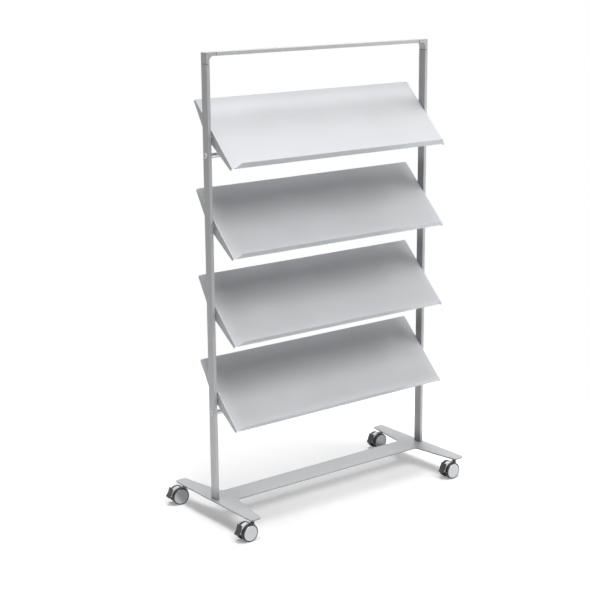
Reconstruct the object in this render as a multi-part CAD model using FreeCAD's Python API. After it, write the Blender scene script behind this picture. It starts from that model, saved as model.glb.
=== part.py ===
import FreeCAD, Part
import math
import os

# A mobile periodical display rack. Two slim posts and a top rail make a goal-shaped frame on a
# flat H-shaped steel base with four braked twin-wheel casters. Four sheet-metal shelves slope
# between the posts, each with a low lip at its front edge.
# Millimetres. +X points right, +Y back, +Z up. The origin is on the floor, midway between the
# posts.

V = FreeCAD.Vector
AXIS_X = V(1, 0, 0)
AXIS_Y = V(0, 1, 0)
AXIS_Z = V(0, 0, 1)

# Frame of rectangular tube, narrow side to the front
rack_height = 1583.0
frame_width = 944.0
tube_thickness = 12.0
tube_depth = 32.0
tube_wall = 1.5
tube_edge_radius = 1.0

# Corner connectors, flush with the tubes they join
corner_drop = 36.0
corner_reach = 38.5
corner_inner_radius = 15.0
corner_outer_radius = 2.0
spigot_length = 30.0
seam_gap = 1.6

# Base plate
plate_overhang = 9.4
plate_thickness = 4.5
plate_top = 76.5
foot_length = 461.0
foot_tip_width = 43.0
foot_root_width = 72.0
foot_tip_radius = 12.0
foot_root_radius = 15.0
bar_depth = 96.0

# Screws that hold the posts to the base plate
base_screw_radius = 3.0
base_screw_head_radius = 6.0
base_screw_length = 24.0
base_screw_spacing = 16.0
base_screw_socket_across_flats = 4.0
base_screw_socket_depth = 2.1
post_plug_length = 28.0

# Shelves
shelf_count = 4
top_shelf_drop = 256.4
shelf_pitch = 291.5
shelf_setback = -24.8
shelf_slope = 45.0
shelf_length = 290.0
sheet_thickness = 1.5
bend_radius = 1.0
lip_height = 28.0
lip_end_inset = 9.5
lip_end_slant = 19.0
lip_corner_radius = 3.0
hem_height = 12.0
flange_front_height = 11.0
flange_back_height = 8.0
flange_belly_height = 40.0
flange_belly_place = 20.0
flange_belly_radius = 60.0
flange_corner_radius = 5.0

# Shelf fixings: screws through the side flanges into inserts set in the posts
fixing_depth = 17.0
fixing_middle_place = 18.0
fixing_spacing = 28.0
insert_flange_radius = 5.5
insert_flange_thickness = 1.5
insert_body_radius = 3.5
insert_length = 7.5
shelf_screw_radius = 2.5
shelf_screw_head_radius = 4.75
shelf_screw_head_height = 2.8
shelf_screw_head_chamfer = 1.4
shelf_screw_socket_across_flats = 3.0
shelf_screw_socket_depth = 1.7
shelf_screw_length = 9.0

# Round crossbars and their bolts: one below the top shelf, one below the bottom shelf
upper_crossbar_drop = 72.4
lower_crossbar_drop = 66.5
crossbar_radius = 9.0
crossbar_wall = 1.5
crossbar_plug_length = 22.0
crossbar_bolt_radius = 4.0
crossbar_bolt_length = 32.0
bolt_head_radius = 9.8
bolt_head_height = 4.0
bolt_head_chamfer = 1.8
bolt_socket_across_flats = 8.0
bolt_socket_depth = 2.4

# Casters: swivel axis measured in from the foot's outer edge and from its end
swivel_side_inset = 23.2
swivel_end_inset = 25.9
caster_trail = 23.3
caster_turns = {"front_left": 2.0, "rear_left": -8.4, "rear_right": 2.9, "front_right": 1.1}
wheel_radius = 30.0
wheel_width = 13.5
wheel_gap = 17.0
tyre_thickness = 3.3
tyre_chamfer = 1.0
hub_boss_radius = 6.5
hub_rim_thickness = 2.8
hub_web_thickness = 2.0
cap_thickness = 1.7
cap_chamfer = 0.6
axle_radius = 3.0

# Caster housing between the two wheels, and the neck above it
hood_width = 16.0
hood_radius = 31.5
hood_wall = 2.5
hood_bottom = 28.0
hood_rounding = 1.2
neck_boss_radius = 8.0
neck_boss_top = 48.0
neck_boss_bottom = 34.0
neck_boss_cover = 2.0
socket_radius = 6.6
socket_length = 8.0
stem_thread_radius = 4.0
stem_pin_radius = 4.5
stem_pin_length = 24.0
stem_pin_chamfer = 1.0
bush_radius = 6.75
bush_length = 22.0

# Brake pedal: places are measured from a point level with the axle, just behind the wheels
pedal_width = 24.0
pedal_gap = 4.1
pedal_pivot_cover = 6.9
pedal_pivot_angle = 139.0
pedal_pin_radius = 2.0
pedal_boss_radius = 4.2
pedal_tongue_width = 8.0
pedal_tongue_height = 7.0
pedal_tongue_inset = 1.0
pedal_slot_height = 12.0
pedal_outline = [
    (-3.8, 31.2, 1.0),
    (-0.2, 19.5, 8.0),
    (2.2, 12.4, 5.0),
    (10.8, -0.5, 1.2),
    (8.1, -2.3, 1.2),
    (-1.2, 12.5, 8.0),
    (-3.4, 19.5, 8.0),
    (-6.8, 30.4, 1.0),
]

# Clearances between pieces
seat_clearance = 0.05
running_clearance = 0.05
spigot_clearance = 0.1
bolt_clearance = 0.2
end_clearance = 0.3

# How far a cutting body reaches past what it cuts, and what counts as the same place
cut_margin = 1.0
same_place = 0.01

# Places that follow from the sizes above
plate_width = frame_width + 2 * plate_overhang
plate_bottom = plate_top - plate_thickness
post_centre = (frame_width - tube_thickness) / 2
post_inner_face = frame_width / 2 - tube_thickness
rail_centre_height = rack_height - tube_thickness / 2
corner_bottom = rack_height - corner_drop
corner_inner_end = frame_width / 2 - corner_reach
shelf_heights = [rack_height - top_shelf_drop - index * shelf_pitch for index in range(shelf_count)]
upper_crossbar_height = shelf_heights[0] - upper_crossbar_drop
lower_crossbar_height = shelf_heights[-1] - lower_crossbar_drop
shelf_half_width = post_inner_face - insert_flange_thickness
bend_outer_radius = bend_radius + sheet_thickness
swivel_x = plate_width / 2 - swivel_side_inset
swivel_y = foot_length / 2 - swivel_end_inset
axle_place = V(-caster_trail, 0, wheel_radius)
socket_bottom = plate_bottom - socket_length
bush_top = socket_bottom - end_clearance
hub_outer_end = wheel_gap / 2 + wheel_width - cap_thickness
tyre_inner_radius = wheel_radius - tyre_thickness
hub_rim_radius = tyre_inner_radius - seat_clearance
pedal_place = axle_place + V(-wheel_radius - pedal_gap, 0, 0)
pedal_pivot_radius = hood_radius - pedal_pivot_cover
pedal_pivot = axle_place + V(
    pedal_pivot_radius * math.cos(math.radians(pedal_pivot_angle)),
    0,
    pedal_pivot_radius * math.sin(math.radians(pedal_pivot_angle)),
)


def unit(vector):
    return vector * (1 / vector.Length)


def rounded_face(corners, to_point):
    """Flat face of straight runs joined by tangent arcs. A corner is (u, v, radius)."""
    places = [to_point(u, v) for u, v, radius in corners]
    stretches = []
    for index, place in enumerate(places):
        radius = corners[index][2]
        back = unit(places[index - 1] - place)
        ahead = unit(places[(index + 1) % len(places)] - place)
        if radius == 0:
            stretches.append((place, place, None))
            continue
        half_angle = back.getAngle(ahead) / 2
        reach = radius / math.tan(half_angle)
        start = place + back * reach
        end = place + ahead * reach
        middle = place + unit(back + ahead) * (radius / math.sin(half_angle) - radius)
        stretches.append((start, end, Part.Arc(start, middle, end).toShape()))
    edges = []
    for index, (start, end, arc) in enumerate(stretches):
        if arc is not None:
            edges.append(arc)
        following = stretches[(index + 1) % len(stretches)][0]
        if (following - end).Length > same_place:
            edges.append(Part.makeLine(end, following))
    return Part.Face(Part.Wire(edges))


def turn(corners, centre, axis):
    """Solid of revolution. A corner is (radius, distance along the axis, rounding)."""
    radial = V(axis.z, axis.x, axis.y)
    face = rounded_face(corners, lambda r, along: centre + radial * r + axis * along)
    return face.revolve(centre, axis, 360)


def rod(radius, start, end):
    """Plain cylinder between two points."""
    return Part.makeCylinder(radius, (end - start).Length, start, end - start)


def block(low, high):
    """Box between two corners."""
    size = high - low
    return Part.makeBox(size.x, size.y, size.z, low)


def mirrored(shape):
    """The same shape on the other side of the rack."""
    return shape.mirror(V(0, 0, 0), AXIS_X)


def both_sides(solids):
    return solids + [mirrored(solid) for solid in solids]


def save(name, *solids):
    shape = solids[0] if len(solids) == 1 else Part.makeCompound(list(solids))
    shape.exportStep(os.path.join("parts", name + ".step"))


def rectangle(width, height, radius):
    """Corners of a rectangle centred on its origin."""
    return [
        (width / 2, height / 2, radius),
        (-width / 2, height / 2, radius),
        (-width / 2, -height / 2, radius),
        (width / 2, -height / 2, radius),
    ]


def rectangular_tube(to_point, run):
    """Tube of the frame's section along the vector run."""
    outside = rectangle(tube_thickness, tube_depth, tube_edge_radius)
    inside = rectangle(tube_thickness - 2 * tube_wall, tube_depth - 2 * tube_wall, 0)
    return rounded_face(outside, to_point).extrude(run).cut(rounded_face(inside, to_point).extrude(run))


# Base plate: one H-shaped steel plate, with countersunk holes under the posts
def base_screw_places():
    return [V(post_centre, side * base_screw_spacing / 2, 0) for side in (-1, 1)]


def base_plate():
    quarter = [
        (plate_width / 2, foot_length / 2, foot_tip_radius),
        (plate_width / 2 - foot_tip_width, foot_length / 2, foot_tip_radius),
        (plate_width / 2 - foot_root_width, bar_depth / 2, foot_root_radius),
    ]
    corners = []
    for side, end in ((1, 1), (-1, 1), (-1, -1), (1, -1)):
        run = [(side * u, end * v, radius) for u, v, radius in quarter]
        corners += run if side * end > 0 else run[::-1]
    plate = rounded_face(corners, lambda u, v: V(u, v, plate_bottom)).extrude(AXIS_Z * plate_thickness)
    holes = []
    for place in base_screw_places():
        low = place + AXIS_Z * plate_bottom
        holes.append(rod(base_screw_radius + bolt_clearance, low, low + AXIS_Z * plate_thickness))
        holes.append(countersink(low, bolt_clearance))
    return plate.cut(both_sides(holes))


def countersink(low, clearance):
    """Cone of a countersunk head, its wide end at low."""
    wide = base_screw_head_radius + clearance
    narrow = base_screw_radius + clearance
    return Part.makeCone(wide, narrow, base_screw_head_radius - base_screw_radius, low, AXIS_Z)


def base_screw(place):
    low = place + AXIS_Z * plate_bottom
    shank = rod(base_screw_radius, low, low + AXIS_Z * base_screw_length)
    socket = hexagon_socket(low, AXIS_Z, base_screw_socket_across_flats, base_screw_socket_depth)
    return shank.fuse(countersink(low, 0)).removeSplitter().cut(socket)


def hexagon_socket(place, axis, across_flats, depth):
    """Six-sided recess starting at place and going along the axis."""
    radial = V(axis.z, axis.x, axis.y)
    across = axis.cross(radial)
    corner_radius = across_flats / math.sqrt(3)
    corners = []
    for index in range(7):
        angle = math.radians(60 * index)
        corners.append(place + (radial * math.cos(angle) + across * math.sin(angle)) * corner_radius)
    return Part.Face(Part.makePolygon(corners)).extrude(axis * depth)


def post_plug():
    """Tapped block welded into the foot of the post."""
    width = tube_thickness - 2 * tube_wall - 2 * spigot_clearance
    depth = tube_depth - 2 * tube_wall - 2 * spigot_clearance
    plug = block(
        V(post_centre - width / 2, -depth / 2, plate_top),
        V(post_centre + width / 2, depth / 2, plate_top + post_plug_length),
    )
    holes = []
    for place in base_screw_places():
        low = place + AXIS_Z * plate_top
        holes.append(rod(base_screw_radius + seat_clearance, low, low + AXIS_Z * post_plug_length))
    return plug.cut(holes)


# Posts: tubes with bolt holes for the crossbars and round holes for the shelf inserts
def crossbar_places():
    return [V(post_inner_face, 0, height) for height in (upper_crossbar_height, lower_crossbar_height)]


def post():
    foot = V(post_centre, 0, plate_top)
    run = AXIS_Z * (corner_bottom - seam_gap - plate_top)
    tube = rectangular_tube(lambda u, v: foot + V(u, v, 0), run)
    holes = []
    for place in crossbar_places():
        holes.append(rod(crossbar_bolt_radius + bolt_clearance, place, place + AXIS_X * tube_thickness))
    for place in fixing_places():
        through = place + AXIS_X * (tube_wall + cut_margin)
        holes.append(rod(insert_body_radius + seat_clearance, place, through))
    return tube.cut(holes)


# Corner connector: an elbow with one spigot down into the post and one into the rail
def corner():
    elbow = rounded_face(
        [
            (frame_width / 2, rack_height, corner_outer_radius),
            (corner_inner_end, rack_height, 0),
            (corner_inner_end, rack_height - tube_thickness, 0),
            (post_inner_face, rack_height - tube_thickness, corner_inner_radius),
            (post_inner_face, corner_bottom, 0),
            (frame_width / 2, corner_bottom, 0),
        ],
        lambda u, v: V(u, -tube_depth / 2, v),
    ).extrude(AXIS_Y * tube_depth)
    long_edges = [edge for edge in elbow.Edges if runs_along_elbow(edge)]
    elbow = elbow.makeFillet(tube_edge_radius, long_edges)
    half_width = tube_thickness / 2 - tube_wall - spigot_clearance
    half_depth = tube_depth / 2 - tube_wall - spigot_clearance
    lower_spigot = block(
        V(post_centre - half_width, -half_depth, corner_bottom - spigot_length),
        V(post_centre + half_width, half_depth, corner_bottom),
    )
    side_spigot = block(
        V(corner_inner_end - spigot_length, -half_depth, rail_centre_height - half_width),
        V(corner_inner_end, half_depth, rail_centre_height + half_width),
    )
    return elbow.fuse([lower_spigot, side_spigot]).removeSplitter()


def runs_along_elbow(edge):
    """True for the edges of the elbow's front and back faces, without those at the two seams."""
    box = edge.BoundBox
    at_side_seam = box.XMax < corner_inner_end + same_place
    at_lower_seam = box.ZMax < corner_bottom + same_place
    return box.YLength < same_place and not at_side_seam and not at_lower_seam


def top_rail():
    half_length = corner_inner_end - seam_gap
    start = V(-half_length, 0, rail_centre_height)
    return rectangular_tube(lambda u, v: start + V(0, v, u), AXIS_X * 2 * half_length)


# Crossbars: round tubes with a tapped plug at each end, bolted from outside the posts
def crossbar(height):
    start = V(-post_inner_face, 0, height)
    end = V(post_inner_face, 0, height)
    return rod(crossbar_radius, start, end).cut(rod(crossbar_radius - crossbar_wall, start, end))


def crossbar_plug(place):
    inner = place - AXIS_X * crossbar_plug_length
    plug = rod(crossbar_radius - crossbar_wall - seat_clearance, inner, place)
    return plug.cut(rod(crossbar_bolt_radius + seat_clearance, inner, place))


def crossbar_bolt(place):
    seat = place + AXIS_X * tube_thickness
    bolt = turn(
        [
            (0, -crossbar_bolt_length, 0),
            (crossbar_bolt_radius, -crossbar_bolt_length, 0),
            (crossbar_bolt_radius, 0, 0),
            (bolt_head_radius, 0, 0),
            (bolt_head_radius, bolt_head_height - bolt_head_chamfer, 0),
            (bolt_head_radius - bolt_head_chamfer, bolt_head_height, 0),
            (0, bolt_head_height, 0),
        ],
        seat,
        AXIS_X,
    )
    mouth = seat + AXIS_X * bolt_head_height
    return bolt.cut(hexagon_socket(mouth, -AXIS_X, bolt_socket_across_flats, bolt_socket_depth))


# Shelves: made level about their own middle, u to the right, v up the slope and w away from the
# panel, then tilted into place. The panel's display face is at w = 0.
def shelf_placement(height):
    return FreeCAD.Placement(V(0, shelf_setback, height), FreeCAD.Rotation(AXIS_X, shelf_slope))


def bent_panel():
    """Panel with its front lip and back hem, as one strip across the shelf."""
    half = shelf_length / 2
    t = sheet_thickness
    strip = rounded_face(
        [
            (-half, -t, bend_outer_radius),
            (half - t, -t, bend_radius),
            (half - t, -hem_height, 0),
            (half, -hem_height, 0),
            (half, 0, bend_outer_radius),
            (-half + t, 0, bend_radius),
            (-half + t, lip_height, 0),
            (-half, lip_height, 0),
        ],
        lambda v, w: V(bend_outer_radius - shelf_half_width, v, w),
    ).extrude(AXIS_X * 2 * (shelf_half_width - bend_outer_radius))
    return strip.cut([lip_end_waste(), mirrored(lip_end_waste())])


def lip_end_waste():
    """What is cut away beyond the slanted end of the lip."""
    start = shelf_half_width - lip_end_inset
    corner = start - lip_end_slant
    beyond = shelf_half_width + cut_margin
    below = -bend_outer_radius - sheet_thickness
    above = lip_height + cut_margin
    front = -shelf_length / 2 - cut_margin
    waste = rounded_face(
        [
            (beyond, below, 0),
            (beyond, above, 0),
            (corner - lip_corner_radius, above, 0),
            (corner - lip_corner_radius, lip_height, 0),
            (corner, lip_height, lip_corner_radius),
            (start, 0, 0),
            (start, below, 0),
        ],
        lambda u, w: V(u, front, w),
    )
    return waste.extrude(AXIS_Y * (bend_outer_radius + cut_margin))


def side_flange():
    """Right-hand flange and its bend, cut to the bellied outline that meets the post."""
    half = shelf_length / 2
    t = sheet_thickness
    run = shelf_length - 2 * bend_outer_radius
    deepest = flange_belly_height + cut_margin
    angle_strip = rounded_face(
        [
            (shelf_half_width - bend_outer_radius, -t, 0),
            (shelf_half_width - t, -t, bend_radius),
            (shelf_half_width - t, -deepest, 0),
            (shelf_half_width, -deepest, 0),
            (shelf_half_width, 0, bend_outer_radius),
            (shelf_half_width - bend_outer_radius, 0, 0),
        ],
        lambda u, w: V(u, bend_outer_radius - half, w),
    ).extrude(AXIS_Y * run)
    side_view = rounded_face(
        [
            (-half, cut_margin, 0),
            (-half, -flange_front_height, flange_corner_radius),
            (flange_belly_place, -flange_belly_height, flange_belly_radius),
            (half, -flange_back_height, flange_corner_radius),
            (half, cut_margin, 0),
        ],
        lambda v, w: V(shelf_half_width - bend_outer_radius - cut_margin, v, w),
    ).extrude(AXIS_X * (bend_outer_radius + 2 * cut_margin))
    return angle_strip.common(side_view)


def level_fixing_places():
    """Right-hand fixing holes, on the outer face of the flange of a level shelf."""
    places = []
    for side in (-0.5, 0.5):
        along = fixing_middle_place + side * fixing_spacing
        places.append(V(shelf_half_width, along, -fixing_depth))
    return places


def fixing_places():
    """Where the fixings of every shelf meet the right-hand post's inner face."""
    places = []
    for height in shelf_heights:
        for place in level_fixing_places():
            tilted = shelf_placement(height).multVec(place)
            places.append(V(post_inner_face, tilted.y, tilted.z))
    return places


def shelf(height):
    holes = []
    for place in level_fixing_places():
        inside = place - AXIS_X * (sheet_thickness + cut_margin)
        holes.append(rod(shelf_screw_radius + bolt_clearance, inside, place + AXIS_X))
    flange = side_flange().cut(holes)
    body = bent_panel().fuse([flange, mirrored(flange)]).removeSplitter()
    body.Placement = shelf_placement(height)
    return body


def shelf_insert(place):
    """Threaded insert; its flange spaces the shelf off the post."""
    return turn(
        [
            (shelf_screw_radius + seat_clearance, -insert_flange_thickness, 0),
            (insert_flange_radius, -insert_flange_thickness, 0),
            (insert_flange_radius, 0, 0),
            (insert_body_radius, 0, 0),
            (insert_body_radius, insert_length, 0),
            (shelf_screw_radius + seat_clearance, insert_length, 0),
        ],
        place,
        AXIS_X,
    )


def shelf_screw(place):
    seat = place - AXIS_X * (insert_flange_thickness + sheet_thickness)
    screw = turn(
        [
            (0, -shelf_screw_head_height, 0),
            (shelf_screw_head_radius - shelf_screw_head_chamfer, -shelf_screw_head_height, 0),
            (shelf_screw_head_radius, shelf_screw_head_chamfer - shelf_screw_head_height, 0),
            (shelf_screw_head_radius, 0, 0),
            (shelf_screw_radius, 0, 0),
            (shelf_screw_radius, shelf_screw_length, 0),
            (0, shelf_screw_length, 0),
        ],
        seat,
        AXIS_X,
    )
    mouth = seat - AXIS_X * shelf_screw_head_height
    socket = hexagon_socket(mouth, AXIS_X, shelf_screw_socket_across_flats, shelf_screw_socket_depth)
    return screw.cut(socket)


# Casters: made about their own swivel axis with the wheels trailing towards -X, then turned to
# where each one has come to rest
def caster_placement(name):
    side = -1 if name.endswith("left") else 1
    end = -1 if name.startswith("front") else 1
    rotation = FreeCAD.Rotation(AXIS_Z, caster_turns[name])
    return FreeCAD.Placement(V(side * swivel_x, end * swivel_y, 0), rotation)


def placed(solid, name):
    moved = solid.copy()
    moved.Placement = caster_placement(name).multiply(moved.Placement)
    return moved


def caster_socket():
    """Threaded sleeve welded under the foot."""
    top = AXIS_Z * plate_bottom
    bottom = AXIS_Z * socket_bottom
    return rod(socket_radius, bottom, top).cut(rod(stem_thread_radius + seat_clearance, bottom, top))


def caster_stem():
    """Threaded end in the socket, and a thicker pin below it that carries the housing."""
    return turn(
        [
            (0, -stem_pin_length, 0),
            (stem_pin_radius - stem_pin_chamfer, -stem_pin_length, 0),
            (stem_pin_radius, stem_pin_chamfer - stem_pin_length, 0),
            (stem_pin_radius, 0, 0),
            (stem_thread_radius, 0, 0),
            (stem_thread_radius, socket_length, 0),
            (0, socket_length, 0),
        ],
        AXIS_Z * socket_bottom,
        AXIS_Z,
    )


def swivel_bush():
    top = AXIS_Z * bush_top
    bottom = AXIS_Z * (bush_top - bush_length)
    return rod(bush_radius, bottom, top).cut(rod(stem_pin_radius + running_clearance, bottom, top))


def caster_hood():
    """Moulded housing: a round-backed shell with solid bosses for the stem and the axle."""
    half = hood_width / 2
    side = AXIS_Y * half
    drum = rod(hood_radius, axle_place - side, axle_place + side)
    reach = hood_radius + cut_margin
    lowest = hood_bottom - wheel_radius
    keep = block(axle_place + V(-reach, -half, lowest), axle_place + V(reach, half, reach))
    neck_block = block(
        V(-neck_boss_radius, -half, neck_boss_bottom),
        V(neck_boss_radius, half, neck_boss_top),
    )
    shell = drum.common(keep).fuse([neck_block, axle_boss(side)]).removeSplitter()
    rims = [edge for edge in shell.Edges if is_hood_rim(edge)]
    shell = shell.makeFillet(hood_rounding, rims)
    return shell.cut([hood_pocket(), neck_bore(), pedal_slot(), axle_bore(), pedal_pin_bore()])


def is_hood_rim(edge):
    """True for the round edges along the back of the housing."""
    is_arc = isinstance(edge.Curve, Part.Circle)
    return is_arc and abs(edge.Curve.Radius - hood_radius) < same_place


def hood_pocket():
    """Hollow behind the stem, open below, with the axle's boss left standing across it."""
    inner = hood_width / 2 - hood_wall
    hollow_radius = hood_radius - hood_wall
    side = AXIS_Y * inner
    hollow = rod(hollow_radius, axle_place - side, axle_place + side)
    front = -neck_boss_radius - neck_boss_cover
    reach = hollow_radius + cut_margin
    keep = block(V(axle_place.x - reach, -inner, 0), V(front, inner, axle_place.z + reach))
    return hollow.common(keep).cut(axle_boss(side))


def axle_boss(side):
    return rod(axle_radius + hood_wall, axle_place - side, axle_place + side)


def neck_bore():
    """Stepped hole: the bush's seat, and below it a clear hole for the end of the stem."""
    seat = AXIS_Z * (bush_top - bush_length)
    above = AXIS_Z * (neck_boss_top + bush_length)
    pin_end = AXIS_Z * (socket_bottom - stem_pin_length - cut_margin)
    wide = rod(bush_radius + seat_clearance, seat, above)
    return wide.fuse(rod(stem_pin_radius + bolt_clearance, pin_end, seat))


def pedal_slot():
    half = pedal_tongue_width / 2 + end_clearance
    back = axle_place.x - hood_radius - cut_margin
    front = pedal_pivot.x + pedal_boss_radius + cut_margin
    rise = AXIS_Z * pedal_slot_height / 2
    return block(V(back, -half, pedal_pivot.z) - rise, V(front, half, pedal_pivot.z) + rise)


def axle_bore():
    side = AXIS_Y * hood_width
    return rod(axle_radius + seat_clearance, axle_place - side, axle_place + side)


def pedal_pin_bore():
    side = AXIS_Y * hood_width
    return rod(pedal_pin_radius + running_clearance, pedal_pivot - side, pedal_pivot + side)


def caster_axle():
    side = AXIS_Y * (hub_outer_end - end_clearance)
    return rod(axle_radius, axle_place - side, axle_place + side)


def brake_pedal():
    """Curved foot plate with a nose, on a tongue that turns on its own moulded pin."""
    corners = [(pedal_place.x - back, pedal_place.z + up, radius) for back, up, radius in pedal_outline]
    face = rounded_face(corners, lambda u, v: V(u, -pedal_width / 2, v))
    plate = face.extrude(AXIS_Y * pedal_width)
    half = pedal_tongue_width / 2
    tongue = block(
        V(pedal_place.x + pedal_tongue_inset, -half, pedal_pivot.z - pedal_tongue_height / 2),
        V(pedal_pivot.x, half, pedal_pivot.z + pedal_tongue_height / 2),
    )
    boss = rod(pedal_boss_radius, pedal_pivot - AXIS_Y * half, pedal_pivot + AXIS_Y * half)
    pin_half = AXIS_Y * (hood_width / 2 - end_clearance)
    pin = rod(pedal_pin_radius, pedal_pivot - pin_half, pedal_pivot + pin_half)
    return plate.fuse([tongue, boss, pin]).removeSplitter()


# Wheels: made on the +Y side of the housing, and turned half round the axle's middle for -Y
def tyre():
    inner = wheel_gap / 2
    outer = inner + wheel_width
    shoulder = wheel_radius - tyre_chamfer
    return turn(
        [
            (tyre_inner_radius, inner, 0),
            (shoulder, inner, 0),
            (wheel_radius, inner + tyre_chamfer, 0),
            (wheel_radius, outer - tyre_chamfer, 0),
            (shoulder, outer, 0),
            (tyre_inner_radius, outer, 0),
        ],
        axle_place,
        AXIS_Y,
    )


def hub():
    inner = wheel_gap / 2
    bore = axle_radius + running_clearance
    rim = hub_rim_radius - hub_rim_thickness
    web_start = (inner + hub_outer_end - hub_web_thickness) / 2
    web_end = web_start + hub_web_thickness
    return turn(
        [
            (bore, inner, 0),
            (hub_boss_radius, inner, 0),
            (hub_boss_radius, web_start, 0),
            (rim, web_start, 0),
            (rim, inner, 0),
            (hub_rim_radius, inner, 0),
            (hub_rim_radius, hub_outer_end, 0),
            (rim, hub_outer_end, 0),
            (rim, web_end, 0),
            (hub_boss_radius, web_end, 0),
            (hub_boss_radius, hub_outer_end, 0),
            (bore, hub_outer_end, 0),
        ],
        axle_place,
        AXIS_Y,
    )


def wheel_cap():
    outer = hub_outer_end + cap_thickness
    radius = tyre_inner_radius - bolt_clearance
    return turn(
        [
            (0, hub_outer_end, 0),
            (radius, hub_outer_end, 0),
            (radius, outer - cap_chamfer, 0),
            (radius - cap_chamfer, outer, 0),
            (0, outer, 0),
        ],
        axle_place,
        AXIS_Y,
    )


def other_side(solid):
    turned = solid.copy()
    turned.rotate(axle_place, AXIS_Z, 180)
    return turned


def save_frame():
    save("base_plate", base_plate())
    save("right_post", post())
    save("left_post", mirrored(post()))
    save("right_corner", corner())
    save("left_corner", mirrored(corner()))
    save("top_rail", top_rail())
    save("upper_crossbar", crossbar(upper_crossbar_height))
    save("lower_crossbar", crossbar(lower_crossbar_height))
    save("crossbar_plugs", *both_sides([crossbar_plug(place) for place in crossbar_places()]))
    save("crossbar_bolts", *both_sides([crossbar_bolt(place) for place in crossbar_places()]))
    save("post_plugs", *both_sides([post_plug()]))
    save("base_screws", *both_sides([base_screw(place) for place in base_screw_places()]))


def save_shelves():
    for index, height in enumerate(shelf_heights):
        save("shelf_%d" % (index + 1), shelf(height))
    save("shelf_inserts", *both_sides([shelf_insert(place) for place in fixing_places()]))
    save("shelf_screws", *both_sides([shelf_screw(place) for place in fixing_places()]))


def save_casters():
    save("caster_sockets", *[placed(caster_socket(), name) for name in caster_turns])
    save("caster_stems", *[placed(caster_stem(), name) for name in caster_turns])
    turning = {
        "caster_hood": caster_hood(),
        "swivel_bush": swivel_bush(),
        "axle": caster_axle(),
        "brake_pedal": brake_pedal(),
    }
    wheel = {"tyre": tyre(), "hub": hub(), "wheel_cap": wheel_cap()}
    for name in caster_turns:
        for piece, solid in turning.items():
            save(name + "_" + piece, placed(solid, name))
        for piece, solid in wheel.items():
            rear, front = placed(solid, name), placed(other_side(solid), name)
            outer, inner = (front, rear) if name.startswith("front") else (rear, front)
            save(name + "_outer_" + piece, outer)
            save(name + "_inner_" + piece, inner)


os.makedirs("parts", exist_ok=True)
save_frame()
save_shelves()
save_casters()
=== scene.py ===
import math

import bpy
from mathutils import Euler, Matrix, Vector

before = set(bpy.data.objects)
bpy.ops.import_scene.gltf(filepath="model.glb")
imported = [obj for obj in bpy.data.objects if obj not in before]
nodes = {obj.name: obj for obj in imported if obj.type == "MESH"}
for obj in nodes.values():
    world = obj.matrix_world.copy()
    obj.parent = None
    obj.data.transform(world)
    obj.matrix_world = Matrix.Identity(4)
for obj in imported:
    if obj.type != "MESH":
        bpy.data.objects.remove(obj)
scene = bpy.context.scene
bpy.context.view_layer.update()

# ---------------------------------------------------------------------------------------------
# View of the rack
# A long lens from the front left, a little above the top rail, looks slightly down on the rack.
# ---------------------------------------------------------------------------------------------
view_place = Vector((-2.9932, -3.7743, 1.9078))
view_turn = 0.6512
view_drop = 0.2416
view_lean = -0.0086
focal_length = 86.51
film_width = 36.0
far_limit = 200.0

camera_data = bpy.data.cameras.new("view")
camera_data.sensor_width = film_width
camera_data.lens = focal_length
camera_data.clip_end = far_limit
camera = bpy.data.objects.new("view", camera_data)
scene.collection.objects.link(camera)
aim = Euler((math.pi / 2 - view_drop, 0.0, -view_turn)).to_matrix()
camera.location = view_place
camera.rotation_euler = (aim @ Matrix.Rotation(view_lean, 3, "Z")).to_euler()
scene.camera = camera
scene.view_settings.view_transform = "Standard"

# ---------------------------------------------------------------------------------------------
# Studio
# Broad, soft lights hang above, in front and behind at the right, and a round panel stands low
# at the right. The overhead light is left out of reflections, so that the sloping shelves don't
# glare. The rack stands on a pale floor in a white room.
# ---------------------------------------------------------------------------------------------
white = (1.0, 1.0, 1.0, 1.0)


def sun(name, direction, spread_degrees, strength):
    """A broad, soft light from one direction."""
    light_data = bpy.data.lights.new(name, "SUN")
    light_data.angle = math.radians(spread_degrees)
    light_data.energy = strength
    light = bpy.data.objects.new(name, light_data)
    light.rotation_euler = Vector(direction).to_track_quat("Z", "Y").to_euler()
    scene.collection.objects.link(light)
    return light


overhead = sun("overhead", (0.0, 0.0, 1.0), spread_degrees=20.0, strength=1.79)
overhead.visible_glossy = False
sun("front", (0.0, -0.574, 0.819), spread_degrees=35.0, strength=1.57)
sun("back_right", (0.406, 0.406, 0.819), spread_degrees=35.0, strength=0.33)

panel_place = Vector((2.2, -1.6, 1.0))
panel_aim = Vector((0.0, 0.0, 0.8))
panel_diameter = 1.2
panel_power = 5.7
panel_data = bpy.data.lights.new("side_panel", "AREA")
panel_data.shape = "DISK"
panel_data.size = panel_diameter
panel_data.energy = panel_power
panel = bpy.data.objects.new("side_panel", panel_data)
panel.location = panel_place
panel.rotation_euler = (panel_place - panel_aim).to_track_quat("Z", "Y").to_euler()
panel.visible_camera = False
scene.collection.objects.link(panel)


def number(tree, operation, *entries):
    """The result of one Math node. Its entries are sockets or plain numbers."""
    node = tree.nodes.new("ShaderNodeMath")
    node.operation = operation
    for entry_socket, entry in zip(node.inputs, entries):
        if isinstance(entry, float):
            entry_socket.default_value = entry
        else:
            tree.links.new(entry, entry_socket)
    return node.outputs["Value"]


def fade(tree, value, levels, reach=(0.0, 1.0)):
    """Goes from the first level to the second while the value crosses the reach."""
    node = tree.nodes.new("ShaderNodeMapRange")
    node.inputs["From Min"].default_value, node.inputs["From Max"].default_value = reach
    node.inputs["To Min"].default_value, node.inputs["To Max"].default_value = levels
    tree.links.new(value, node.inputs["Value"])
    return node.outputs["Result"]


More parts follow.
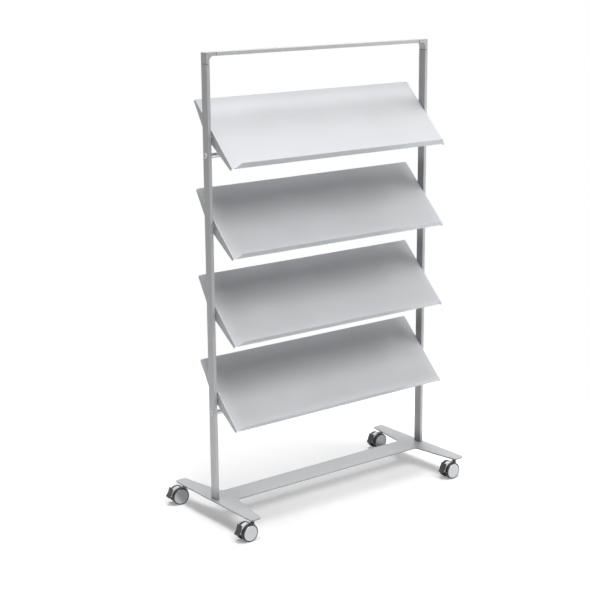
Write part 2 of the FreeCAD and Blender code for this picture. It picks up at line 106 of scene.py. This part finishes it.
def coordinates(tree, kind):
    """A piece's own Object coordinates, or the Normal of its surface."""
    return tree.nodes.new("ShaderNodeTexCoord").outputs[kind]


def axes(tree, kind):
    """The same, as three sockets for X, Y and Z."""
    parts = tree.nodes.new("ShaderNodeSeparateXYZ")
    tree.links.new(coordinates(tree, kind), parts.inputs["Vector"])
    return parts.outputs["X"], parts.outputs["Y"], parts.outputs["Z"]


def only_seen(tree):
    """1 for rays from the view, mirrors and glass, and 0 for the rays that light the rack."""
    path = tree.nodes.new("ShaderNodeLightPath")
    mirrored = number(tree, "MAXIMUM", path.outputs["Is Glossy Ray"],
                      path.outputs["Is Transmission Ray"])
    return number(tree, "MAXIMUM", path.outputs["Is Camera Ray"], mirrored)


world = bpy.data.worlds.new("white_room")
world.use_nodes = True
scene.world = world
room = world.node_tree
room_white = room.nodes["Background"]
room_white.inputs["Color"].default_value = white
room.links.new(only_seen(room), room_white.inputs["Strength"])

# The floor's glow carries painted light and shade: it glows a little more behind the rack, which
# lightens the shadow there, and a little less around its left end, which deepens the soft shadow.
floor_size = 3.0
floor_grey = (0.8, 0.8, 0.8, 1.0)
back_reach = (0.27, 0.52)
back_glow_painted_light = (0.3, 0.42)
left_end = (-0.5, 0.0, 0.0)
left_reach = (0.2, 0.45)
left_painted_shade = (0.88, 1.0)

bpy.ops.object.select_all(action="DESELECT")
bpy.ops.mesh.primitive_plane_add(size=floor_size, location=(0.0, 0.0, 0.0))
floor = bpy.context.object
floor.name = "floor"
floor_paint = bpy.data.materials.new("floor")
floor_paint.use_nodes = True
floor_tree = floor_paint.node_tree
floor_tree.nodes.clear()
floor_out = floor_tree.nodes.new("ShaderNodeOutputMaterial")
floor_matt = floor_tree.nodes.new("ShaderNodeBsdfDiffuse")
floor_matt.inputs["Color"].default_value = floor_grey
floor_glow = floor_tree.nodes.new("ShaderNodeEmission")
floor_glow.inputs["Color"].default_value = white
floor_sum = floor_tree.nodes.new("ShaderNodeAddShader")
from_left_end = floor_tree.nodes.new("ShaderNodeVectorMath")
from_left_end.operation = "DISTANCE"
from_left_end.inputs[1].default_value = left_end
floor_tree.links.new(coordinates(floor_tree, "Object"), from_left_end.inputs[0])
_, floor_depth, _ = axes(floor_tree, "Object")
# Painted light behind the rack and painted shade around its left end.
back_level = fade(floor_tree, floor_depth, back_glow_painted_light, back_reach)
left_level = fade(floor_tree, from_left_end.outputs["Value"], left_painted_shade, left_reach)
floor_level = number(floor_tree, "MULTIPLY", back_level, left_level)
floor_seen = number(floor_tree, "MULTIPLY", only_seen(floor_tree), floor_level)
floor_tree.links.new(floor_seen, floor_glow.inputs["Strength"])
floor_tree.links.new(floor_matt.outputs["BSDF"], floor_sum.inputs[0])
floor_tree.links.new(floor_glow.outputs["Emission"], floor_sum.inputs[1])
floor_tree.links.new(floor_sum.outputs["Shader"], floor_out.inputs["Surface"])
floor.data.materials.append(floor_paint)

# ---------------------------------------------------------------------------------------------
# Base plate
# One H-shaped plate of 4.5 mm steel, laser cut and powder coated in satin silver grey. It lies
# on the four casters, and carries both posts. Its colour has painted shade on the narrow cut
# edges, painted light on the bar between the legs and painted shade on the legs.
# ---------------------------------------------------------------------------------------------
silver_grey = (0.594, 0.603, 0.617, 1.0)
coat_metallic = 0.3
peel_size = 900.0
peel_depth = 0.12
grain_height = 0.0002
edge_reach = (0.6, 0.9)
edge_shade_tones = (0.68, 1.0)
leg_reach = (0.3, 0.44)
bar_light_leg_shade_tones = (1.08, 0.89)


def finish(name):
    """A new material with one Principled shader."""
    material = bpy.data.materials.new(name)
    material.use_nodes = True
    tree = material.node_tree
    return material, tree, tree.nodes["Principled BSDF"]


def coat(node_name, material):
    """Gives a CAD node its material."""
    mesh = nodes[node_name].data
    mesh.materials.clear()
    mesh.materials.append(material)


def noise(tree, place, scale, detail):
    """The strength of one noise pattern."""
    pattern = tree.nodes.new("ShaderNodeTexNoise")
    pattern.inputs["Scale"].default_value = scale
    pattern.inputs["Detail"].default_value = detail
    tree.links.new(place, pattern.inputs["Vector"])
    return pattern.outputs["Fac"]


def scaled_tone(tree, tone, level):
    """A colour times a level. The colour is a socket or three plain numbers."""
    product = tree.nodes.new("ShaderNodeVectorMath")
    product.operation = "SCALE"
    if isinstance(tone, tuple):
        product.inputs[0].default_value = tone
    else:
        tree.links.new(tone, product.inputs[0])
    tree.links.new(level, product.inputs["Scale"])
    return product.outputs["Vector"]


def vary_tone(material, level):
    """Scales a material's colour by a level that changes over the surface."""
    tree = material.node_tree
    colour = tree.nodes["Principled BSDF"].inputs["Base Color"]
    tree.links.new(scaled_tone(tree, colour.links[0].from_socket, level), colour)


def grain_group(name, grain_type, grain_output, cloud_size, cloud_detail, tones, roughness):
    """A fine grain for the height, and broad faint clouds for the tone and the gloss."""
    group = bpy.data.node_groups.new(name, "ShaderNodeTree")
    for entry, kind in (("Grain Size", "Float"), ("Tone", "Color")):
        group.interface.new_socket(entry, in_out="INPUT", socket_type="NodeSocket" + kind)
    for result, kind in (("Color", "Color"), ("Height", "Float"), ("Roughness", "Float")):
        group.interface.new_socket(result, in_out="OUTPUT", socket_type="NodeSocket" + kind)
    given = group.nodes.new("NodeGroupInput")
    put_out = group.nodes.new("NodeGroupOutput")
    grain = group.nodes.new(grain_type)
    group.links.new(coordinates(group, "Object"), grain.inputs["Vector"])
    group.links.new(given.outputs["Grain Size"], grain.inputs["Scale"])
    clouds = noise(group, coordinates(group, "Object"), cloud_size, cloud_detail)
    tone = scaled_tone(group, given.outputs["Tone"], fade(group, clouds, tones))
    group.links.new(tone, put_out.inputs["Color"])
    group.links.new(grain.outputs[grain_output], put_out.inputs["Height"])
    group.links.new(fade(group, clouds, roughness), put_out.inputs["Roughness"])
    return group


def grained(name, group, tone, grain_size, depth):
    """A material of one tone with the grain of a group."""
    material, tree, shader = finish(name)
    texture = tree.nodes.new("ShaderNodeGroup")
    texture.node_tree = group
    texture.inputs["Grain Size"].default_value = grain_size
    texture.inputs["Tone"].default_value = tone
    bump = tree.nodes.new("ShaderNodeBump")
    bump.inputs["Strength"].default_value = depth
    bump.inputs["Distance"].default_value = grain_height
    tree.links.new(texture.outputs["Color"], shader.inputs["Base Color"])
    tree.links.new(texture.outputs["Roughness"], shader.inputs["Roughness"])
    tree.links.new(texture.outputs["Height"], bump.inputs["Height"])
    tree.links.new(bump.outputs["Normal"], shader.inputs["Normal"])
    return material


orange_peel = grain_group("powder_coat", "ShaderNodeTexNoise", "Fac", cloud_size=7.0,
                          cloud_detail=3.0, tones=(0.965, 1.035), roughness=(0.36, 0.46))


def powder_coated(name, tone):
    """Baked powder coat of one tone, with fine orange peel."""
    material = grained(name, orange_peel, tone, peel_size, peel_depth)
    shader = material.node_tree.nodes["Principled BSDF"]
    shader.inputs["Metallic"].default_value = coat_metallic
    return material


frame_paint = powder_coated("frame_paint", silver_grey)
plate_paint = powder_coated("plate_paint", silver_grey)
plate_tree = plate_paint.node_tree
plate_upward = number(plate_tree, "ABSOLUTE", axes(plate_tree, "Normal")[2])
plate_off_centre = number(plate_tree, "ABSOLUTE", axes(plate_tree, "Object")[0])
# Painted shade on the cut edges; painted light on the bar and painted shade on the legs.
edge_painted_shade = fade(plate_tree, plate_upward, edge_shade_tones, edge_reach)
bar_light_leg_shade_level = fade(plate_tree, plate_off_centre, bar_light_leg_shade_tones, leg_reach)
vary_tone(plate_paint, number(plate_tree, "MULTIPLY", edge_painted_shade, bar_light_leg_shade_level))
coat("base_plate", plate_paint)
coat("caster_sockets", frame_paint)

# ---------------------------------------------------------------------------------------------
# Posts and top rail
# Narrow rectangular steel tube with the same coat as the base. Painted shade darkens the foot of
# each post and the inner side of the right post, and painted light makes the rail a little
# lighter. The posts are screwed down through the base plate, and the rail joins them through the
# corner connectors.
# ---------------------------------------------------------------------------------------------
# The rail's lighter grey is painted light.
rail_painted_light_grey = (0.648, 0.657, 0.67, 1.0)
post_foot = 0.0765
foot_shade_length = 0.05
foot_shade_tones = (0.45, 1.0)
facing_left = -0.5
inner_shade_tones = (1.0, 0.72)

post_paint = powder_coated("post_paint", silver_grey)
post_tree = post_paint.node_tree
post_across, _, post_height = axes(post_tree, "Object")
# Painted shade at the foot of each post and on the inner side of the right post.
foot_painted_shade = fade(post_tree, post_height, foot_shade_tones, (post_foot, post_foot + foot_shade_length))
faces_left = number(post_tree, "LESS_THAN", axes(post_tree, "Normal")[0], facing_left)
on_right = number(post_tree, "GREATER_THAN", post_across, 0.0)
inner_face = number(post_tree, "MULTIPLY", faces_left, on_right)
inner_painted_shade = fade(post_tree, inner_face, inner_shade_tones)
vary_tone(post_paint, number(post_tree, "MULTIPLY", foot_painted_shade, inner_painted_shade))
coat("left_post", post_paint)
coat("right_post", post_paint)
coat("top_rail", powder_coated("rail_paint_painted_light", rail_painted_light_grey))

# ---------------------------------------------------------------------------------------------
# Corner connectors
# Moulded elbows with the frame's coat. Their spigots are coloured near black: painted shade that
# shows as a dark line in the seams.
# ---------------------------------------------------------------------------------------------
# Near black for the spigots: painted shade in the seams.
spigot_painted_shade_black = (0.012, 0.012, 0.013, 1.0)
elbow_bottom = 1.5471
elbow_inner_end = 0.4336
# The Mix node's sockets for colours, by their places, because several share a name.
mix_factor, mix_first, mix_second = 0, 6, 7
mix_result = 2

elbow_paint = powder_coated("elbow_paint", silver_grey)
elbow_tree = elbow_paint.node_tree
elbow_colour = elbow_tree.nodes["Principled BSDF"].inputs["Base Color"]
elbow_across, _, elbow_height = axes(elbow_tree, "Object")
above_seam = number(elbow_tree, "GREATER_THAN", elbow_height, elbow_bottom)
elbow_off_centre = number(elbow_tree, "ABSOLUTE", elbow_across)
beside_seam = number(elbow_tree, "GREATER_THAN", elbow_off_centre, elbow_inner_end)
coated = number(elbow_tree, "MULTIPLY", above_seam, beside_seam)
elbow_mix = elbow_tree.nodes.new("ShaderNodeMix")
elbow_mix.data_type = "RGBA"
elbow_mix.inputs[mix_first].default_value = spigot_painted_shade_black
elbow_tree.links.new(coated, elbow_mix.inputs[mix_factor])
elbow_tree.links.new(elbow_colour.links[0].from_socket, elbow_mix.inputs[mix_second])
elbow_tree.links.new(elbow_mix.outputs[mix_result], elbow_colour)
coat("left_corner", elbow_paint)
coat("right_corner", elbow_paint)

# ---------------------------------------------------------------------------------------------
# Shelves
# Bent sheet steel with a lip at the front and bellied flanges at the sides, in a lighter coat
# than the frame. Painted shade deepens the coat on the lower shelves and the side flanges, and
# painted light makes the lips lighter.
# ---------------------------------------------------------------------------------------------
shelf_grey = (0.722, 0.736, 0.756, 1.0)
shelf_names = ("shelf_1", "shelf_2", "shelf_3", "shelf_4")
height_reach = (0.45, 1.3)
height_shade_tones = (0.87, 1.035)
lip_direction = (0.0, -0.707, -0.707)
facing_reach = (0.7, 0.9)
lip_light_tones = (1.0, 1.18)
flange_shade_tones = (1.0, 0.91)

shelf_paint = powder_coated("shelf_paint", shelf_grey)
shelf_tree = shelf_paint.node_tree
# Painted shade on the lower shelves and the flanges, and painted light on the lips.
height_painted_shade = fade(shelf_tree, axes(shelf_tree, "Object")[2], height_shade_tones, height_reach)
lip_side = shelf_tree.nodes.new("ShaderNodeVectorMath")
lip_side.operation = "DOT_PRODUCT"
lip_side.inputs[1].default_value = lip_direction
shelf_tree.links.new(coordinates(shelf_tree, "Normal"), lip_side.inputs[0])
lip_painted_light = fade(shelf_tree, lip_side.outputs["Value"], lip_light_tones, facing_reach)
flange_side = number(shelf_tree, "ABSOLUTE", axes(shelf_tree, "Normal")[0])
flange_painted_shade = fade(shelf_tree, flange_side, flange_shade_tones, facing_reach)
shelf_painted_light_and_shade = number(shelf_tree, "MULTIPLY", height_painted_shade, lip_painted_light)
vary_tone(shelf_paint, number(shelf_tree, "MULTIPLY", shelf_painted_light_and_shade, flange_painted_shade))
for shelf_name in shelf_names:
    coat(shelf_name, shelf_paint)

# ---------------------------------------------------------------------------------------------
# Crossbars
# Chromed steel tubes between the posts. They stiffen the frame under the top and bottom shelf.
# Polishing leaves very faint lines along them.
# ---------------------------------------------------------------------------------------------
chrome_tone = (0.72, 0.72, 0.73, 1.0)
line_scale = (4.0, 900.0, 900.0)
chrome_roughness = (0.07, 0.14)

chrome, chrome_tree, chrome_shader = finish("crossbar_chrome")
chrome_shader.inputs["Base Color"].default_value = chrome_tone
chrome_shader.inputs["Metallic"].default_value = 1.0
drawn_out = chrome_tree.nodes.new("ShaderNodeMapping")
drawn_out.inputs["Scale"].default_value = line_scale
chrome_tree.links.new(coordinates(chrome_tree, "Object"), drawn_out.inputs["Vector"])
polish_lines = noise(chrome_tree, drawn_out.outputs["Vector"], scale=1.0, detail=2.0)
chrome_tree.links.new(fade(chrome_tree, polish_lines, chrome_roughness),
                      chrome_shader.inputs["Roughness"])
coat("upper_crossbar", chrome)
coat("lower_crossbar", chrome)

# ---------------------------------------------------------------------------------------------
# Screws, plugs, inserts and stems
# Bright zinc-plated steel with a crystalline bloom. The inserts' flanges show in the gaps
# beside the shelves, and the rest is hidden.
# ---------------------------------------------------------------------------------------------
zinc_roughness = (0.22, 0.38)
zinc_fittings = ("crossbar_plugs", "post_plugs", "base_screws", "shelf_inserts",
                 "shelf_screws", "caster_stems")


def bloomed_steel(name, bloom_size, bloom_detail, dark, light):
    """Plated steel whose tone changes with a fine bloom. Gives the bloom too."""
    material, tree, shader = finish(name)
    bloom = noise(tree, coordinates(tree, "Object"), bloom_size, bloom_detail)
    bloom_tone = tree.nodes.new("ShaderNodeValToRGB")
    bloom_tone.color_ramp.elements[0].color = dark
    bloom_tone.color_ramp.elements[1].color = light
    tree.links.new(bloom, bloom_tone.inputs["Fac"])
    tree.links.new(bloom_tone.outputs["Color"], shader.inputs["Base Color"])
    return material, tree, shader, bloom


zinc, zinc_tree, zinc_shader, zinc_bloom = bloomed_steel(
    "zinc_plate", bloom_size=220.0, bloom_detail=3.0,
    dark=(0.62, 0.62, 0.63, 1.0), light=(0.8, 0.8, 0.81, 1.0))
zinc_shader.inputs["Metallic"].default_value = 1.0
zinc_tree.links.new(fade(zinc_tree, zinc_bloom, zinc_roughness),
                    zinc_shader.inputs["Roughness"])
for fitting in zinc_fittings:
    coat(fitting, zinc)

# ---------------------------------------------------------------------------------------------
# Crossbar bolts
# Socket-head bolts in a satin grey plate. Their low heads show on the outer sides of the posts.
# ---------------------------------------------------------------------------------------------
bolt_metallic = 0.6
bolt_roughness = 0.4

bolt_plate, _, bolt_shader, _ = bloomed_steel(
    "dull_plate", bloom_size=400.0, bloom_detail=2.0,
    dark=(0.58, 0.585, 0.59, 1.0), light=(0.72, 0.725, 0.73, 1.0))
bolt_shader.inputs["Metallic"].default_value = bolt_metallic
bolt_shader.inputs["Roughness"].default_value = bolt_roughness
coat("crossbar_bolts", bolt_plate)

# ---------------------------------------------------------------------------------------------
# Casters
# Twin-wheel casters: a light grey moulded housing on a dark grey bush, black hubs and tyres,
# plated caps and a black foot pedal for the brake. The rear caps have a darker tone than the
# front ones: painted shade, for the shadowed floor they mirror.
# ---------------------------------------------------------------------------------------------
hood_grey = (0.8, 0.805, 0.81, 1.0)
pedal_black = (0.045, 0.046, 0.048, 1.0)
bush_grey = (0.16, 0.162, 0.166, 1.0)
hub_black = (0.07, 0.07, 0.072, 1.0)
tyre_black = (0.035, 0.036, 0.038, 1.0)
front_cap_tone = (0.53, 0.535, 0.55)
# The rear cap tones are darker: painted shade, for the shadowed floor they mirror.
rear_left_cap_shade_tone = (0.52, 0.525, 0.54)
rear_right_cap_shade_tone = (0.27, 0.275, 0.28)
cap_bloom_size = 90.0
cap_bloom_detail = 3.0
cap_bloom_tones = (0.96, 1.04)
cap_roughness = (0.08, 0.16)

moulded_grain = grain_group("moulded_grain", "ShaderNodeTexVoronoi", "Distance", cloud_size=60.0,
                            cloud_detail=4.0, tones=(0.93, 1.07), roughness=(0.42, 0.6))
hood_plastic = grained("hood_plastic", moulded_grain, hood_grey, grain_size=2500.0, depth=0.1)
black_plastic = grained("black_plastic", moulded_grain, pedal_black, grain_size=1800.0, depth=0.35)
bush_plastic = grained("bush_plastic", moulded_grain, bush_grey, grain_size=1800.0, depth=0.2)
hub_plastic = grained("hub_plastic", moulded_grain, hub_black, grain_size=1800.0, depth=0.2)
tyre_rubber = grained("tyre_rubber", moulded_grain, tyre_black, grain_size=1200.0, depth=0.3)


def plated(name, tone):
    """Bright plated plastic, a little cloudy. The tone gives how much light it mirrors."""
    material, tree, shader = finish(name)
    shader.inputs["Metallic"].default_value = 1.0
    bloom = noise(tree, coordinates(tree, "Object"), cap_bloom_size, cap_bloom_detail)
    colour = scaled_tone(tree, tone, fade(tree, bloom, cap_bloom_tones))
    tree.links.new(colour, shader.inputs["Base Color"])
    tree.links.new(fade(tree, bloom, cap_roughness), shader.inputs["Roughness"])
    return material


bright_plating = plated("cap_plating", front_cap_tone)
cap_finish = {
    "front_left": bright_plating,
    "front_right": bright_plating,
    "rear_left": plated("rear_left_plating_painted_shade", rear_left_cap_shade_tone),
    "rear_right": plated("rear_right_plating_painted_shade", rear_right_cap_shade_tone),
}
for corner, cap_plating in cap_finish.items():
    coat(corner + "_caster_hood", hood_plastic)
    coat(corner + "_swivel_bush", bush_plastic)
    coat(corner + "_axle", zinc)
    coat(corner + "_brake_pedal", black_plastic)
    for wheel in ("_outer_", "_inner_"):
        coat(corner + wheel + "tyre", tyre_rubber)
        coat(corner + wheel + "hub", hub_plastic)
        coat(corner + wheel + "wheel_cap", cap_plating)
